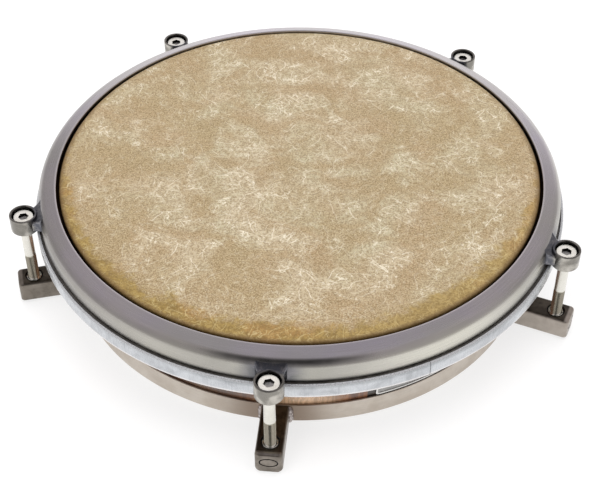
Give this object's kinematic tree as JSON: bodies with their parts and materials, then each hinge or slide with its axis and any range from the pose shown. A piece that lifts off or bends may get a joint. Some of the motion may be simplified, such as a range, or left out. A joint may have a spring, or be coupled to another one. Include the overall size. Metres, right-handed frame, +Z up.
{
  "type": "travel conga drum",
  "caption": "Flat travel conga: a tuned head under a steel counterhoop on a shallow wooden shell, held in a steel ring by bolts in lug arms that it also stands on.",
  "frame": {"origin": "middle of the footprint on the plane of the feet; the axis of the drum stands 8.5 mm behind it", "axes": "+Z up along the axis of the drum, -Y towards the first lug arm at the front, +X to the right seen from the front"},
  "size_m": [0.3538, 0.351, 0.074],
  "materials": {
    "hoop_steel": "satin brushed",
    "arm_steel": "satin, dark tinted",
    "band_steel": "satin",
    "aluminium": "bright, lightly brushed",
    "bolt_steel": "polished plating",
    "film": "matte, mottled fibre print",
    "resin": "semi-gloss cast",
    "wood": "satin stain, upright grain",
    "plate_metal": "bright rim, darker field"
  },
  "bodies": {
    "chassis": {"chassis_ring": "band_steel", "wood_shell": "wood", "shell_plate": "plate_metal", "lug_arm_1": "arm_steel", "lug_arm_2": "arm_steel", "lug_arm_3": "arm_steel", "lug_arm_4": "arm_steel", "lug_arm_5": "arm_steel", "lug_bush_1": "bolt_steel", "lug_bush_2": "bolt_steel", "lug_bush_3": "bolt_steel", "lug_bush_4": "bolt_steel", "lug_bush_5": "bolt_steel"},
    "hoop": {"counter_hoop": "hoop_steel", "hoop_ear_1": "arm_steel", "hoop_ear_2": "arm_steel", "hoop_ear_3": "arm_steel", "hoop_ear_4": "arm_steel", "hoop_ear_5": "arm_steel"},
    "head": {"drum_head": "film", "flesh_hoop": "aluminium", "head_resin": "resin"},
    "bolt_1": {"tension_bolt_1": "bolt_steel", "bolt_washer_1": "bolt_steel"},
    "bolt_2": {"tension_bolt_2": "bolt_steel", "bolt_washer_2": "bolt_steel"},
    "bolt_3": {"tension_bolt_3": "bolt_steel", "bolt_washer_3": "bolt_steel"},
    "bolt_4": {"tension_bolt_4": "bolt_steel", "bolt_washer_4": "bolt_steel"},
    "bolt_5": {"tension_bolt_5": "bolt_steel", "bolt_washer_5": "bolt_steel"}
  },
  "joints": [
    {"name": "hoop_lift", "type": "slide", "parent": "chassis", "child": "hoop", "axis": [0, 0, 1], "range_m": [0, 0.0125]},
    {"name": "head_lift", "type": "slide", "parent": "chassis", "child": "head", "axis": [0, 0, 1], "range_m": [0, 0.00625]},
    {"name": "bolt_1_turn", "type": "hinge", "parent": "hoop", "child": "bolt_1", "pos_m": [0, -0.1652, 0.0594], "axis": [0, 0, 1], "continuous": true},
    {"name": "bolt_2_turn", "type": "hinge", "parent": "hoop", "child": "bolt_2", "pos_m": [0.1652, -0.04518, 0.0594], "axis": [0, 0, 1], "continuous": true},
    {"name": "bolt_3_turn", "type": "hinge", "parent": "hoop", "child": "bolt_3", "pos_m": [0.1021, 0.14903, 0.0594], "axis": [0, 0, 1], "continuous": true},
    {"name": "bolt_4_turn", "type": "hinge", "parent": "hoop", "child": "bolt_4", "pos_m": [-0.1021, 0.14903, 0.0594], "axis": [0, 0, 1], "continuous": true},
    {"name": "bolt_5_turn", "type": "hinge", "parent": "hoop", "child": "bolt_5", "pos_m": [-0.1652, -0.04518, 0.0594], "axis": [0, 0, 1], "continuous": true}
  ],
  "couplings": [
    {"joint": "head_lift", "follows": "hoop_lift", "ratio": 0.5},
    {"joint": "bolt_1_turn", "follows": "hoop_lift", "rad_per_m": 6283.2},
    {"joint": "bolt_2_turn", "follows": "hoop_lift", "rad_per_m": 6283.2},
    {"joint": "bolt_3_turn", "follows": "hoop_lift", "rad_per_m": 6283.2},
    {"joint": "bolt_4_turn", "follows": "hoop_lift", "rad_per_m": 6283.2},
    {"joint": "bolt_5_turn", "follows": "hoop_lift", "rad_per_m": 6283.2}
  ]
}
